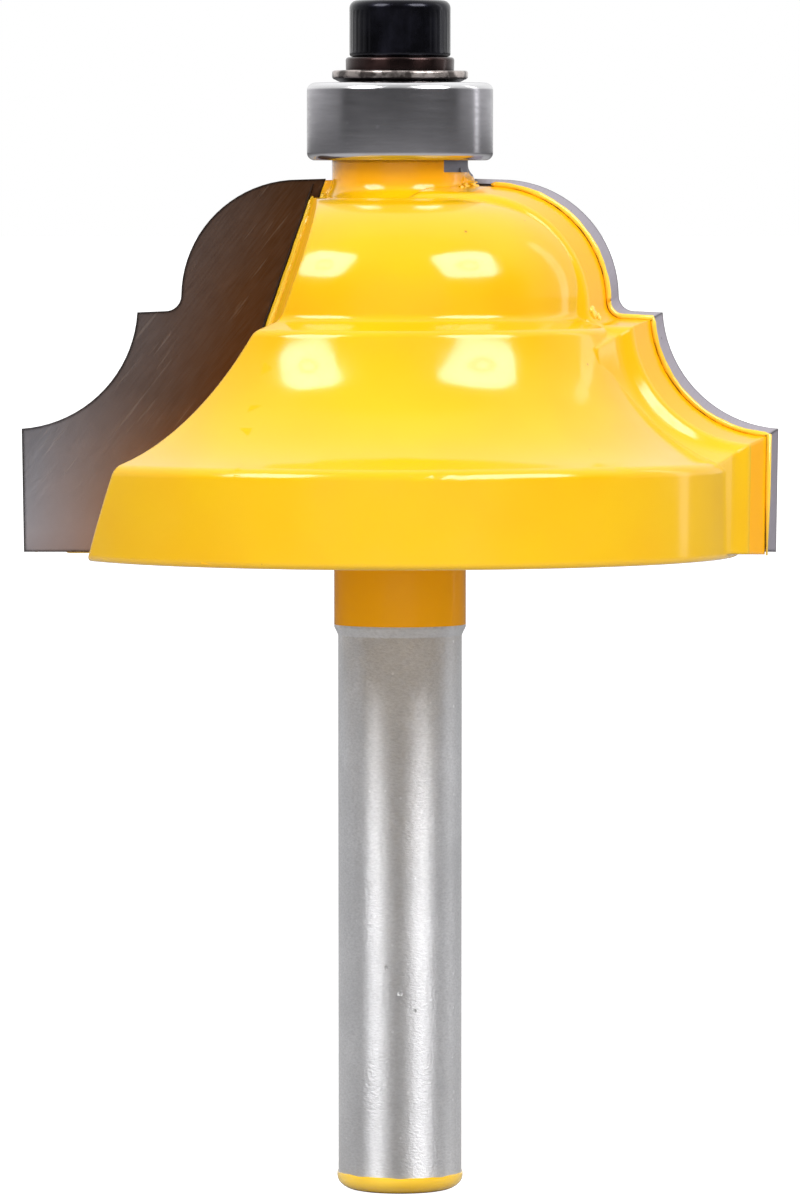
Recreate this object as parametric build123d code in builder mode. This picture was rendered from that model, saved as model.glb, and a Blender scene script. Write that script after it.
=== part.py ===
from build123d import *

import os
from math import asin, atan2, cos, degrees, radians, sin, sqrt, tan

# Router bit: a bead over a cove, two brazed tips and a guide bearing.
# Z is the axis, the origin is the centre of the shank's end face and +Z runs
# to the bearing end. Tip 1 lies along -X with its face towards -Y, and tip 2
# is the same tip turned half round. Sizes are in millimetres.

# ---------------------------------------------------------------- shank, necks
shank_diameter = 6.35
shank_length = 28.5
shank_end_height = 0.6
shank_end_flat_diameter = 4.2
shank_end_radius = 1.5
neck_taper_length = 0.5
lower_neck_diameter = 6.76
lower_neck_length = 3.65
lower_neck_fillet = 0.3
upper_neck_diameter = 6.96
upper_neck_fillet = 0.9

# ---------------------- body between the tips, set back from the cutting profile
core_setback = 1.95
shoulder_setdown = 0.83
shoulder_rise = 0.6
core_bead_radius = 5.0
core_bead_setback = 1.0
core_bead_setdown = 0.92
bearing_gap = 0.9
core_edge_radius = 0.3
band_edge_radius = 0.6
shoulder_edge_radius = 0.5
core_crease_radius = 0.5

# ----------------------------------------------------------- cutting profile
cutting_diameter = 38.76
cutting_edge_height = 6.47
cutting_edge_taper = 0.9
cove_radius = 6.35
cove_centre_outside = 0.41
cove_corner_drop = 0.38
bead_radius = 6.0
bead_centre_rise = 0.69
step_width = 2.25
step_slope = 2.5
step_corner_radius = 0.8
nose_rise = 0.08

# ------------------------------------------------------------------ tips, wings
tip_thickness = 1.7
tip_inset = 0.4
tip_bottom_clearance = 0.15
tip_relief = 0.30
tip_drop = 0.13
end_relief = 3.0
braze_thickness = 0.3
braze_setback = 0.05
wing_setback = 0.07
wing_inner_radius = 2.6
land_width = 2.3
land_relief = 21.0
heel_radius = 0.8
heel_wall_slope = 65.0
heel_facets = 3
heel_drop = 0.55
hollow_radius = 1.5
runout_slope = 35.0
runout_length = 1.6

# ------------------------------------------------- grinding wheel marks on nose
nose_flat_reach = 3.27
nose_flat_turn = -30.0
nose_flat_height = 0.6
nose_hollow_radius = 0.68
nose_hollow_depth = 1.3

# ---------------------------------------------------------------------- gullets
gullet_root_radius = 10.92
gullet_lean = 19.2
gullet_floor_sweep = 4.6
gullet_mouth_depth = 7.41
gullet_wall_turn = 42.6
gullet_wall_lean = 30.6

# ------------------------------------------------------------- guide bearing
bearing_diameter = 9.525
bearing_bore = 3.175
bearing_width = 3.967
inner_ring_diameter = 5.2
outer_ring_bore = 7.5
ring_chamfer = 0.4
ball_diameter = 1.5875
ball_count = 7
race_clearance = 0.05
shield_thickness = 0.2
shield_recess = 0.25
shield_seat_diameter = 7.9
shield_gap = 0.1
cage_thickness = 0.7
cage_floor = 0.4
cage_wall = 0.3

# ------------------------------------------------------------- screw, washers
screw_diameter = 3.1
screw_reach = 8.0
screw_head_diameter = 5.17
screw_head_height = 2.9
screw_head_edge = 0.4
socket_flats = 2.38
socket_depth = 1.5
tapped_hole_clearance = 0.02
tapped_hole_spare = 1.2
drill_point_angle = 118.0
dust_washer_diameter = 6.95
dust_washer_seat_diameter = 6.0
dust_washer_thickness = 0.25
dust_washer_dish = 0.36
dust_washer_bore = 3.3
lock_washer_diameter = 5.56
lock_washer_bore = 3.2
lock_washer_thickness = 1.05
lock_washer_split = 0.35
lock_washer_split_angle = 20.0
lock_washer_split_turn = 62.0

# ---------------------------------------------------------------- heights on Z
neck_taper_start = shank_length
lower_neck_start = neck_taper_start + neck_taper_length
body_bottom = lower_neck_start + lower_neck_length

# ------------------------------------------------- points of the cutting profile
edge_radius = cutting_diameter / 2
edge_top = body_bottom + cutting_edge_height
edge_bottom_radius = edge_radius - cutting_edge_height * tan(radians(cutting_edge_taper))
cove_centre_radius = edge_radius + cove_centre_outside
cove_centre_height = edge_top + sqrt(cove_radius**2 - cove_centre_outside**2)
cove_end_angle = 270 - degrees(asin(cove_centre_outside / cove_radius))
cove_corner_angle = 180 + degrees(asin(cove_corner_drop / cove_radius))
cove_corner_radius = cove_centre_radius - sqrt(cove_radius**2 - cove_corner_drop**2)
step_outer_height = cove_centre_height - cove_corner_drop
bead_centre_radius = cove_corner_radius - step_width - bead_radius
step_inner_height = step_outer_height + step_width * tan(radians(step_slope))
bead_centre_height = step_inner_height + bead_centre_rise
bead_foot_angle = -degrees(asin(bead_centre_rise / bead_radius))
bead_top = bead_centre_height + bead_radius
nose_top = bead_top + nose_rise

# ---------------------------------------- points of the body between the tips
core_radius = edge_radius - core_setback
core_cove_radius = cove_radius + core_setback
shoulder_edge = step_outer_height - shoulder_setdown
shoulder_radius = cove_centre_radius - sqrt(
    core_cove_radius**2 - (cove_centre_height - shoulder_edge) ** 2
)
band_top = cove_centre_height - sqrt(
    core_cove_radius**2 - (cove_centre_radius - core_radius) ** 2
)
core_bead_foot = shoulder_edge + shoulder_rise
core_bead_edge = bead_centre_radius + bead_radius - core_bead_setback
core_bead_middle = core_bead_edge - core_bead_radius
core_bead_top = bead_top - core_bead_setdown
core_bead_centre = core_bead_top - core_bead_radius
neck_blend_middle = upper_neck_diameter / 2 + upper_neck_fillet
neck_blend_rise = sqrt(
    (core_bead_radius + upper_neck_fillet) ** 2 - (neck_blend_middle - core_bead_middle) ** 2
)
core_bead_end_angle = degrees(atan2(neck_blend_rise, neck_blend_middle - core_bead_middle))

# --------------------------------------------- heights above the cutting profile
bearing_seat = nose_top + bearing_gap
bearing_middle = bearing_seat + bearing_width / 2
bearing_top = bearing_seat + bearing_width
lock_washer_seat = bearing_top + dust_washer_thickness
screw_head_seat = lock_washer_seat + lock_washer_thickness
screw_head_top = screw_head_seat + screw_head_height

seat_depth = tip_thickness + braze_thickness
clear_of_all = cutting_diameter
spare_below = bead_radius


# Plane of tip 1's face: local X runs outwards, Y up and Z back into the tip.
face_plane = Plane(origin=(0, 0, 0), x_dir=(-1, 0, 0), z_dir=(0, 1, 0))


def root_radius(height):
    """Distance from the axis of the gullet's root line at a height."""
    return gullet_root_radius - (height - body_bottom) * tan(radians(gullet_lean))


def seat_line(height):
    """Distance from the axis of a tip's inner edge at a height."""
    return root_radius(height) - tip_inset / cos(radians(gullet_lean))


def end_relief_plane(height):
    """Underside plane that rises behind a tip's face; its normal points up."""
    tilt = radians(end_relief)
    return Plane(origin=(0, 0, height), z_dir=(0, -sin(tilt), cos(tilt)))


# Section of a tip and its wing: X runs outwards and Y up, as in the face plane.
with BuildSketch() as profile_section:
    with BuildLine():
        bead = CenterArc(
            (bead_centre_radius, bead_centre_height),
            bead_radius,
            bead_foot_angle,
            90 - bead_foot_angle,
        )
        cove = CenterArc(
            (cove_centre_radius, cove_centre_height),
            cove_radius,
            cove_corner_angle,
            cove_end_angle - cove_corner_angle,
        )
        Line(bead @ 0, cove @ 0)
        Polyline(
            cove @ 1,
            (edge_bottom_radius, body_bottom),
            (edge_bottom_radius, body_bottom - spare_below),
            (wing_inner_radius, body_bottom - spare_below),
            (wing_inner_radius, nose_top),
            bead @ 1,
        )
    make_face()
    fillet(profile_section.vertices().sort_by_distance(bead @ 0)[0], step_corner_radius)

# ------------------------------------------------------------ gullet and seats
with BuildPart() as gullet_space:
    with BuildSketch(face_plane.offset(-clear_of_all)):
        with Locations((clear_of_all / 2, bearing_seat / 2)):
            Rectangle(2 * clear_of_all, 2 * clear_of_all)
    extrude(amount=clear_of_all)
    floor_slope = tan(radians(gullet_lean))
    floor_sweep = tan(radians(gullet_floor_sweep))
    gullet_floor = Plane(
        origin=(-gullet_root_radius, 0, body_bottom),
        z_dir=(-1, -floor_sweep, floor_slope),
    )
    split(bisect_by=gullet_floor, keep=Keep.TOP)
    wall_turn = radians(gullet_wall_turn)
    wall_lean = radians(gullet_wall_lean)
    mouth_reach = sqrt(core_radius**2 - gullet_mouth_depth**2)
    gullet_wall = Plane(
        origin=(-mouth_reach, -gullet_mouth_depth, body_bottom),
        z_dir=(-sin(wall_turn) * cos(wall_lean), cos(wall_turn) * cos(wall_lean), sin(wall_lean)),
    )
    split(bisect_by=gullet_wall, keep=Keep.TOP)

front_relief = Vector(tip_relief, 1, -tip_drop)

# Room that one tip and its braze take up behind the face plane.
with BuildPart() as seat_space:
    with BuildSketch(face_plane):
        with BuildLine():
            Polyline(
                (seat_line(body_bottom - spare_below), body_bottom - spare_below),
                (seat_line(bearing_seat), bearing_seat),
                (clear_of_all, bearing_seat),
                (clear_of_all, body_bottom - spare_below),
                close=True,
            )
        make_face()
    extrude(amount=seat_depth)

# ------------------------------------------------------------------------ wing
def arc_path(start, radius, from_angle, to_angle, facets):
    """Follow an arc from a (depth, inward) point; the angles are its slopes."""
    turn_sign = 1 if to_angle > from_angle else -1
    path = []
    for step in range(1, facets + 1):
        angle = radians(from_angle + (to_angle - from_angle) * step / facets)
        depth = turn_sign * radius * (sin(angle) - sin(radians(from_angle)))
        inward = turn_sign * radius * (cos(radians(from_angle)) - cos(angle))
        path.append((start[0] + depth, start[1] + inward))
    return path


# The wing's surface as stations of depth behind the face and inward shift: the
# land, the rounded heel, the hollow left by the milling cutter and its run-out.
land_start = (seat_depth, tip_relief * seat_depth)
land_end = (seat_depth + land_width, land_start[1] + land_width * tan(radians(land_relief)))
heel_path = arc_path(land_end, heel_radius, land_relief, heel_wall_slope, heel_facets)
hollow_path = arc_path(heel_path[-1], hollow_radius, heel_wall_slope, runout_slope, heel_facets)
runout_end = (
    hollow_path[-1][0] + runout_length * cos(radians(runout_slope)),
    hollow_path[-1][1] + runout_length * sin(radians(runout_slope)),
)
wing_path = [(0, 0), land_start, land_end, *heel_path, *hollow_path, runout_end]
wing_shifts = []
for depth, inward in wing_path:
    past_land = max(0, inward - land_end[1])
    wing_shifts.append(tip_drop * min(depth, land_end[0]) + heel_drop * past_land)

with BuildPart() as wing:
    for (depth, inward), down, (next_depth, next_inward), next_down in zip(
        wing_path, wing_shifts, wing_path[1:], wing_shifts[1:]
    ):
        with BuildSketch(face_plane.offset(depth)):
            with Locations((-inward - wing_setback, -down - wing_setback)):
                add(profile_section.sketch)
        back = Vector(next_inward - inward, next_depth - depth, down - next_down)
        extrude(amount=back.length, dir=back)
    split(bisect_by=end_relief_plane(body_bottom), keep=Keep.TOP)

# ----------------------------------------------------------------- cutter body
with BuildPart() as cutter_body:
    with BuildSketch(Plane.XZ) as core_section:
        shank_radius = shank_diameter / 2
        lower_neck_radius = lower_neck_diameter / 2
        upper_neck_radius = upper_neck_diameter / 2
        with BuildLine():
            shank_end = Line((0, 0), (shank_end_flat_diameter / 2, 0))
            end_curve = RadiusArc(shank_end @ 1, (shank_radius, shank_end_height), -shank_end_radius)
            underside = Polyline(
                end_curve @ 1,
                (shank_radius, neck_taper_start),
                (lower_neck_radius, lower_neck_start),
                (lower_neck_radius, body_bottom),
                (core_radius, body_bottom),
                (core_radius, band_top),
            )
            core_cove = RadiusArc(underside @ 1, (shoulder_radius, shoulder_edge), core_cove_radius)
            bead_foot = Polyline(
                core_cove @ 1,
                (core_bead_edge, core_bead_foot),
                (core_bead_edge, core_bead_centre),
            )
            CenterArc(
                (core_bead_middle, core_bead_centre),
                core_bead_radius,
                0,
                core_bead_end_angle,
            )
            neck_blend = CenterArc(
                (neck_blend_middle, core_bead_centre + neck_blend_rise),
                upper_neck_fillet,
                180 + core_bead_end_angle,
                -core_bead_end_angle,
            )
            Polyline(
                neck_blend @ 1,
                (upper_neck_radius, bearing_seat),
                (0, bearing_seat),
                (0, 0),
            )
        make_face()
        for corner, radius in (
            ((lower_neck_radius, body_bottom), lower_neck_fillet),
            ((core_radius, body_bottom), core_edge_radius),
            ((core_radius, band_top), band_edge_radius),
            ((shoulder_radius, shoulder_edge), shoulder_edge_radius),
            ((core_bead_edge, core_bead_foot), core_crease_radius),
        ):
            fillet(core_section.vertices().sort_by_distance((*corner, 0))[0], radius)
    revolve(axis=Axis.Z)
    with PolarLocations(0, 2):
        add(wing.part)

    # Flat and hollow that the profile grinding wheel left on the nose by tip 2.
    flat_angle = radians(nose_flat_turn)
    flat_plane = Plane(
        origin=(
            nose_flat_reach * cos(flat_angle),
            nose_flat_reach * sin(flat_angle),
            bearing_seat - nose_flat_height / 2,
        ),
        z_dir=(cos(flat_angle), sin(flat_angle), 0),
    )
    with BuildSketch(flat_plane):
        Rectangle(upper_neck_diameter, nose_flat_height)
    extrude(amount=upper_neck_radius, mode=Mode.SUBTRACT)
    with BuildSketch(Plane.XZ):
        with BuildLine():
            hollow_arc = CenterArc(
                (upper_neck_radius + nose_hollow_radius, nose_top + nose_hollow_radius),
                nose_hollow_radius,
                180,
                90,
            )
            Polyline(
                hollow_arc @ 1,
                (upper_neck_radius + nose_hollow_radius, nose_top - nose_hollow_radius),
                (wing_inner_radius, nose_top - nose_hollow_radius),
                (wing_inner_radius, nose_top + nose_hollow_radius),
                hollow_arc @ 0,
            )
        make_face()
    extrude(amount=nose_hollow_depth * front_relief.length, dir=(-tip_relief, -1, -tip_drop))

    with PolarLocations(0, 2):
        add(gullet_space.part, mode=Mode.SUBTRACT)
        add(seat_space.part, mode=Mode.SUBTRACT)

    # Tapped hole for the bearing screw, with its drill point.
    with BuildSketch(Plane.XZ):
        hole_radius = screw_diameter / 2 + tapped_hole_clearance
        hole_end = screw_head_seat - screw_reach - tapped_hole_spare
        with BuildLine():
            Polyline(
                (0, bearing_seat),
                (hole_radius, bearing_seat),
                (hole_radius, hole_end),
                (0, hole_end - hole_radius / tan(radians(drill_point_angle / 2))),
                close=True,
            )
        make_face()
    revolve(axis=Axis.Z, mode=Mode.SUBTRACT)

# ------------------------------------------------------------------ tip, braze
with BuildPart() as tip_blank:
    with BuildSketch(face_plane):
        add(profile_section.sketch)
    extrude(amount=tip_thickness * front_relief.length, dir=front_relief)
    add(seat_space.part, mode=Mode.INTERSECT)
    split(bisect_by=end_relief_plane(body_bottom + tip_bottom_clearance), keep=Keep.TOP)

with BuildPart() as seam_blank:
    braze_shift_in = tip_relief * tip_thickness + braze_setback
    braze_shift_down = tip_drop * tip_thickness + braze_setback
    with BuildSketch(face_plane.offset(tip_thickness)):
        with Locations((-braze_shift_in, -braze_shift_down)):
            add(profile_section.sketch)
    extrude(amount=braze_thickness * front_relief.length, dir=front_relief)
    add(seat_space.part, mode=Mode.INTERSECT)
    split(bisect_by=end_relief_plane(body_bottom + 2 * tip_bottom_clearance), keep=Keep.TOP)

# ------------------------------------------------------------------- bearing
ring_radius = bearing_diameter / 2
inner_ring_radius = inner_ring_diameter / 2
outer_bore_radius = outer_ring_bore / 2
shield_seat_radius = shield_seat_diameter / 2
ball_radius = ball_diameter / 2
ball_circle_radius = (bearing_diameter + bearing_bore) / 4
race_radius = ball_radius + race_clearance
shield_depth = shield_recess + shield_thickness

with BuildPart() as bearing_inner_ring:
    with BuildSketch(Plane.XZ) as inner_ring_section:
        with Locations(((bearing_bore / 2 + inner_ring_radius) / 2, bearing_middle)):
            Rectangle(inner_ring_radius - bearing_bore / 2, bearing_width)
        chamfer(inner_ring_section.vertices(), ring_chamfer / 2)
        with Locations((ball_circle_radius, bearing_middle)):
            Circle(race_radius, mode=Mode.SUBTRACT)
    revolve(axis=Axis.Z)

with BuildPart() as bearing_outer_ring:
    with BuildSketch(Plane.XZ) as outer_ring_section:
        with Locations(((outer_bore_radius + ring_radius) / 2, bearing_middle)):
            Rectangle(ring_radius - outer_bore_radius, bearing_width)
        chamfer(outer_ring_section.vertices().group_by(Axis.X)[-1], ring_chamfer)
        with Locations((ball_circle_radius, bearing_middle)):
            Circle(race_radius, mode=Mode.SUBTRACT)
        for face_height, inward in ((bearing_seat, 1), (bearing_top, -1)):
            with Locations((shield_seat_radius / 2, face_height + inward * shield_depth / 2)):
                Rectangle(shield_seat_radius, shield_depth, mode=Mode.SUBTRACT)
    revolve(axis=Axis.Z)

shields = {}
for name, shield_bottom in (
    ("bearing_lower_shield", bearing_seat + shield_recess),
    ("bearing_upper_shield", bearing_top - shield_depth),
):
    with BuildPart() as shield:
        with BuildSketch(Plane.XY.offset(shield_bottom)):
            Circle(shield_seat_radius)
            Circle(inner_ring_radius + shield_gap, mode=Mode.SUBTRACT)
        extrude(amount=shield_thickness)
    shields[name] = shield

# Crown cage: a ring under the balls with open pockets above it.
with BuildPart() as bearing_cage:
    cage_bottom = bearing_middle - ball_radius - race_clearance - cage_floor
    cage_top = bearing_middle + cage_wall
    with BuildSketch(Plane.XY.offset(cage_bottom)):
        Circle(ball_circle_radius + cage_thickness / 2)
        Circle(ball_circle_radius - cage_thickness / 2, mode=Mode.SUBTRACT)
    extrude(amount=cage_top - cage_bottom)
    with Locations((0, 0, bearing_middle)):
        with PolarLocations(ball_circle_radius, ball_count):
            Sphere(race_radius, mode=Mode.SUBTRACT)

balls = []
for number in range(ball_count):
    ball_angle = radians(360 * number / ball_count)
    ball_centre = (
        ball_circle_radius * cos(ball_angle),
        ball_circle_radius * sin(ball_angle),
        bearing_middle,
    )
    with BuildPart() as ball:
        with Locations(ball_centre):
            Sphere(ball_radius)
    balls.append(ball)

# ------------------------------------------------------------- screw, washers
with BuildPart() as dust_washer:
    with BuildSketch(Plane.XZ):
        seat_radius = dust_washer_seat_diameter / 2
        rim_radius = dust_washer_diameter / 2
        with BuildLine():
            Polyline(
                (dust_washer_bore / 2, bearing_top),
                (seat_radius, bearing_top),
                (rim_radius, bearing_top + dust_washer_dish),
                (rim_radius, bearing_top + dust_washer_dish + dust_washer_thickness),
                (seat_radius, lock_washer_seat),
                (dust_washer_bore / 2, lock_washer_seat),
                close=True,
            )
        make_face()
    revolve(axis=Axis.Z)

with BuildPart() as lock_washer:
    with BuildSketch(Plane.XY.offset(lock_washer_seat)):
        Circle(lock_washer_diameter / 2)
        Circle(lock_washer_bore / 2, mode=Mode.SUBTRACT)
    extrude(amount=lock_washer_thickness)
    split_plane = Plane.XY.offset(lock_washer_seat + lock_washer_thickness / 2)
    split_plane = split_plane.rotated((0, 0, lock_washer_split_turn))
    with BuildSketch(split_plane.rotated((lock_washer_split_angle, 0, 0))):
        with Locations((lock_washer_diameter / 2, 0)):
            Rectangle(lock_washer_diameter, lock_washer_split)
    extrude(amount=lock_washer_thickness * 2, both=True, mode=Mode.SUBTRACT)

with BuildPart() as cap_screw:
    with BuildSketch(Plane.XZ) as screw_section:
        head_radius = screw_head_diameter / 2
        with BuildLine():
            Polyline(
                (0, screw_head_seat - screw_reach),
                (screw_diameter / 2, screw_head_seat - screw_reach),
                (screw_diameter / 2, screw_head_seat),
                (head_radius, screw_head_seat),
                (head_radius, screw_head_top),
                (0, screw_head_top),
                close=True,
            )
        make_face()
        fillet(
            screw_section.vertices().sort_by_distance((head_radius, screw_head_top, 0))[0],
            screw_head_edge,
        )
    revolve(axis=Axis.Z)
    with BuildSketch(Plane.XY.offset(screw_head_top)):
        RegularPolygon(socket_flats / 2, 6, major_radius=False)
    extrude(amount=-socket_depth, mode=Mode.SUBTRACT)

# ------------------------------------------------------------------ the nodes
nodes = {
    "cutter_body": cutter_body,
    "bearing_inner_ring": bearing_inner_ring,
    "bearing_outer_ring": bearing_outer_ring,
    **shields,
    "bearing_cage": bearing_cage,
    "dust_washer": dust_washer,
    "lock_washer": lock_washer,
    "cap_screw": cap_screw,
}
for number, ball in enumerate(balls, start=1):
    nodes[f"bearing_ball_{number}"] = ball
for number, turn in enumerate((0, 180), start=1):
    for name, blank in (("carbide_tip", tip_blank), ("braze_seam", seam_blank)):
        with BuildPart() as turned_piece:
            with Locations(Location((0, 0, 0), (0, 0, turn))):
                add(blank.part)
        nodes[f"{name}_{number}"] = turned_piece

os.makedirs("parts", exist_ok=True)
for name, node in nodes.items():
    node.part.label = name
    export_step(node.part, f"parts/{name}.step")
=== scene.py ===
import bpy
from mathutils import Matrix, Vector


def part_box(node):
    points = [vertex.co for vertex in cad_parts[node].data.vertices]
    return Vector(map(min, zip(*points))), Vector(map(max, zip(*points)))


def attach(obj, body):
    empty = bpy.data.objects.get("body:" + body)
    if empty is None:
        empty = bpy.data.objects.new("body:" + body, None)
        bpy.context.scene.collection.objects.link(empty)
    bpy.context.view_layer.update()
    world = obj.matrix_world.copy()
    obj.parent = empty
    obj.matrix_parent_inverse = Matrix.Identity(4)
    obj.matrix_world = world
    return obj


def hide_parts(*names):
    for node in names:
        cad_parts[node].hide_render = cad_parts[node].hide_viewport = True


bl_info = {
    "name": "Guided Router Bit",
    "version": (1, 0, 0),
    "blender": (4, 5, 0),
    "location": "3D View > Sidebar > Router Bit",
    "description": "Dresses a router bit in enamel, carbide and steel, and sets up its studio",
    "category": "Object",
}

from math import atan2, cos, pi, radians, sin, tan, tau

import bmesh
import bpy
import numpy as np
from mathutils import Matrix, Vector
from mathutils.bvhtree import BVHTree

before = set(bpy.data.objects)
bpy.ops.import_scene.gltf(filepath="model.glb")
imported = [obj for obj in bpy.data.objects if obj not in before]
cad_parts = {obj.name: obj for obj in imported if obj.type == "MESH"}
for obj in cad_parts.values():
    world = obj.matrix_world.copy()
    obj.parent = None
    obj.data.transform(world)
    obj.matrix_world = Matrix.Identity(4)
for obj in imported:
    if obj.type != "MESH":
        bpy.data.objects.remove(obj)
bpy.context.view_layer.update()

MM = 0.001
BIT, RING = "bit", "outer_ring"


def low_high(node):
    """Lowest and highest height of a node, in millimetres."""
    low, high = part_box(node)
    return low[2] / MM, high[2] / MM


BODY_TOP = low_high("cutter_body")[1]
TIP_LOW, TIP_TOP = low_high("carbide_tip_1")
# The tips stop this far above the underside of the body.
TIP_CLEARANCE = 0.15
NECK_TOP = TIP_LOW - TIP_CLEARANCE
RING_LOW, RING_TOP = low_high("bearing_outer_ring")
WASHER_LOW, WASHER_TOP = low_high("dust_washer")
LOCK_LOW, LOCK_TOP = low_high("lock_washer")
SCREW_LOW, SCREW_TOP = low_high("cap_screw")
RING_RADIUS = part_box("bearing_outer_ring")[1][0] / MM
WASHER_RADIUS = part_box("dust_washer")[1][0] / MM
HEAD_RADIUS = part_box("cap_screw")[1][0] / MM

# All the sizes below are in millimetres, and points are (from the axis, height).
# The cutting profile, from the nose down: bead, crease and cove.
BEAD_CENTRE, BEAD_RADIUS = (5.201, 45.865), 6.0
CREASE_CENTRE, CREASE_RADIUS = (12.001, 45.939), 0.8
COVE_CENTRE, COVE_RADIUS = (19.79, 45.457), 6.35
CUTTING_EDGE = [(19.33, 36.0), (19.282, 32.95)]

# The body between the wings: band, cove and bead, set back from the profile.
CORE_RADIUS, CORE_BAND_TOP = 17.43, 37.5
CORE_COVE_RADIUS, CORE_SHOULDER = 8.3, 44.6
CORE_BEAD_CENTRE, CORE_BEAD_RADIUS = (5.2, 45.945), 5.0

# The land ground on each wing lies between these depths behind the face.
LAND_START, LAND_END = 1.9, 4.35

# Where the floor of a gullet meets the face, its lean, and the floor's sweep.
ROOT_LOW, ROOT_LEAN = (10.92, 32.65), radians(19.2)
FLOOR_SWEEP = radians(4.6)

# The coat's raised edge runs behind the tip, and the relief moves it in and down.
LIP_DEPTH, LIP_SHIFT, LIP_DROP = 1.94, 0.29, 0.125

# Runs of paint in a gullet: depth in front of the face, radius, and how far the
# run stops from each end.
PAINT_RUNS = ((1.3, 0.13, 3.0, -1.3), (3.0, 0.16, 6.0, -1.9))

# Lumps of pooled paint near the nose and in the step's corner: place and radius.
PAINT_LUMPS = (
    ((3.35, -2.1, 51.9), 0.26),
    ((3.75, -1.9, 51.45), 0.30),
    ((3.9, -1.3, 51.7), 0.22),
    ((3.1, -2.6, 51.2), 0.18),
    ((-4.0, -0.5, 51.2), 0.30),
    ((-3.85, -0.9, 50.7), 0.24),
    ((-4.3, -1.3, 50.2), 0.20),
    ((9.5, -3.9, 45.1), 0.34),
    ((10.1, -3.6, 44.95), 0.24),
    ((-9.5, 3.9, 45.1), 0.30),
)

# The flat and the hollow that the wheel left on the nose.
NOSE_FLAT_TURN, NOSE_FLAT_REACH = radians(-30.0), 3.27
NOSE_FLAT_HALF_WIDTH, NOSE_FLAT_HEIGHT = 1.25, 0.62
NOSE_HOLLOW = (4.16, 52.625, 0.76)

# The shank: its radius, the neck's, and the flat and the height of its round end.
SHANK_RADIUS, NECK_RADIUS = 3.175, 3.38
END_FLAT, END_HEIGHT = 2.1, 0.75

# The angle that counts as sharp, and each tip's number with its side of the axis.
SHARP = radians(40)
SIDES = ((1, -1.0), (2, 1.0))


# ------------------------------------------------------------------ settings
def length(name, description, default):
    """A size in millimetres."""
    return bpy.props.FloatProperty(
        name=name, description=description, default=default, min=0.0, precision=3
    )


def share(name, description, default):
    """A value from 0 to 1."""
    return bpy.props.FloatProperty(
        name=name, description=description, default=default, min=0.0, max=1.0, subtype="FACTOR"
    )


def colour(name, description, default):
    """A linear colour."""
    return bpy.props.FloatVectorProperty(
        name=name, description=description, default=default, size=3, min=0.0, max=1.0,
        subtype="COLOR",
    )


def angle(name, description, default):
    """An angle given in degrees."""
    return bpy.props.FloatProperty(
        name=name, description=description, default=radians(default), subtype="ANGLE",
        unit="ROTATION",
    )


def power(name, description, default):
    """A light's power or brightness."""
    return bpy.props.FloatProperty(name=name, description=description, default=default, min=0.0)


class EnamelSettings(bpy.types.PropertyGroup):
    """Paint on the body, the necks and the shank's end"""

    tone: colour("Enamel", "Colour of the enamel", (0.78, 0.45, 0.003))
    deep_tone: colour("Thick enamel", "Colour where the enamel pools", (0.77, 0.41, 0.003))
    roughness: share("Roughness", "Roughness of the enamel", 0.16)
    # Painted shade: a darker, more orange copy of the enamel for the necks, the wing lands and the
    # gullet floors.
    painted_shade_tone: colour("Painted shade enamel", "Colour of the coat on necks and wings", (0.94, 0.42, 0.001))
    # Painted highlight: a paler copy of the enamel that makes the raised edges, beads, runs, lumps
    # and the shank's painted end read as lit.
    lit_lip_tone: colour("Lit built-up enamel", "Colour of the coat's raised edges", (0.92, 0.60, 0.05))
    softness: length("Edge softness", "Radius of the coat's rounded edges in mm", 0.25)
    thickness: length("Thickness", "Thickness of the coat on the shank's end in mm", 0.06)
    lip: length("Lip", "Radius of the coat's raised edge beside the braze in mm", 0.14)
    bead: length("Gullet bead", "Radius of the coat's bead along a tip's inner edge in mm", 0.13)
    line_height: length("Coat line", "Height of the coat's lower edge in mm", 29.0)
    end_line: length("End coat line", "Height of the painted end's upper edge in mm", 0.93)


class CarbideSettings(bpy.types.PropertyGroup):
    """Ground tips and their braze"""

    tone: colour("Carbide", "Colour of the ground carbide", (0.40, 0.385, 0.42))
    warm_tone: colour("Warm carbide", "Colour along a tip's inner edge", (0.40, 0.165, 0.055))
    flank_tone: colour("Carbide flank", "Colour of a tip's ground flank", (0.44, 0.40, 0.46))
    edge_tone: colour("Carbide edge", "Colour of the honed edges", (0.015, 0.012, 0.012))
    # Painted shade in part: the braze is near-black so that it also draws the shade along the
    # tips' inner edges.
    braze_and_shade_tone: colour("Braze", "Colour of the braze", (0.035, 0.016, 0.008))
    edge_width: length("Edge width", "Width of the honed edge in mm", 0.3)
    scratch_turn: angle("Scratch direction", "Slope of the grinding scratches on a face", 52.0)
    fillet: length("Braze fillet", "Radius of the braze along a tip's inner edge in mm", 0.07)


class SteelSettings(bpy.types.PropertyGroup):
    """Shank, bearing, screw and washers"""

    shank_tone: colour("Shank", "Colour of the ground shank", (0.76, 0.76, 0.78))
    bearing_tone: colour("Bearing", "Colour of the bearing's rings", (0.47, 0.46, 0.49))
    black_tone: colour("Black oxide", "Colour of the blackened screw", (0.007, 0.007, 0.011))
    roughness: share("Shank roughness", "Roughness of the ground shank", 0.38)
    edge_radius: length("Edge radius", "Radius on the steel pieces' edges in mm", 0.06)
    knurls: bpy.props.IntProperty(
        name="Knurls", description="Grooves round the screw's head", default=42, min=0
    )
    knurl_depth: length("Knurl depth", "Depth of the head's grooves in mm", 0.01)


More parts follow.
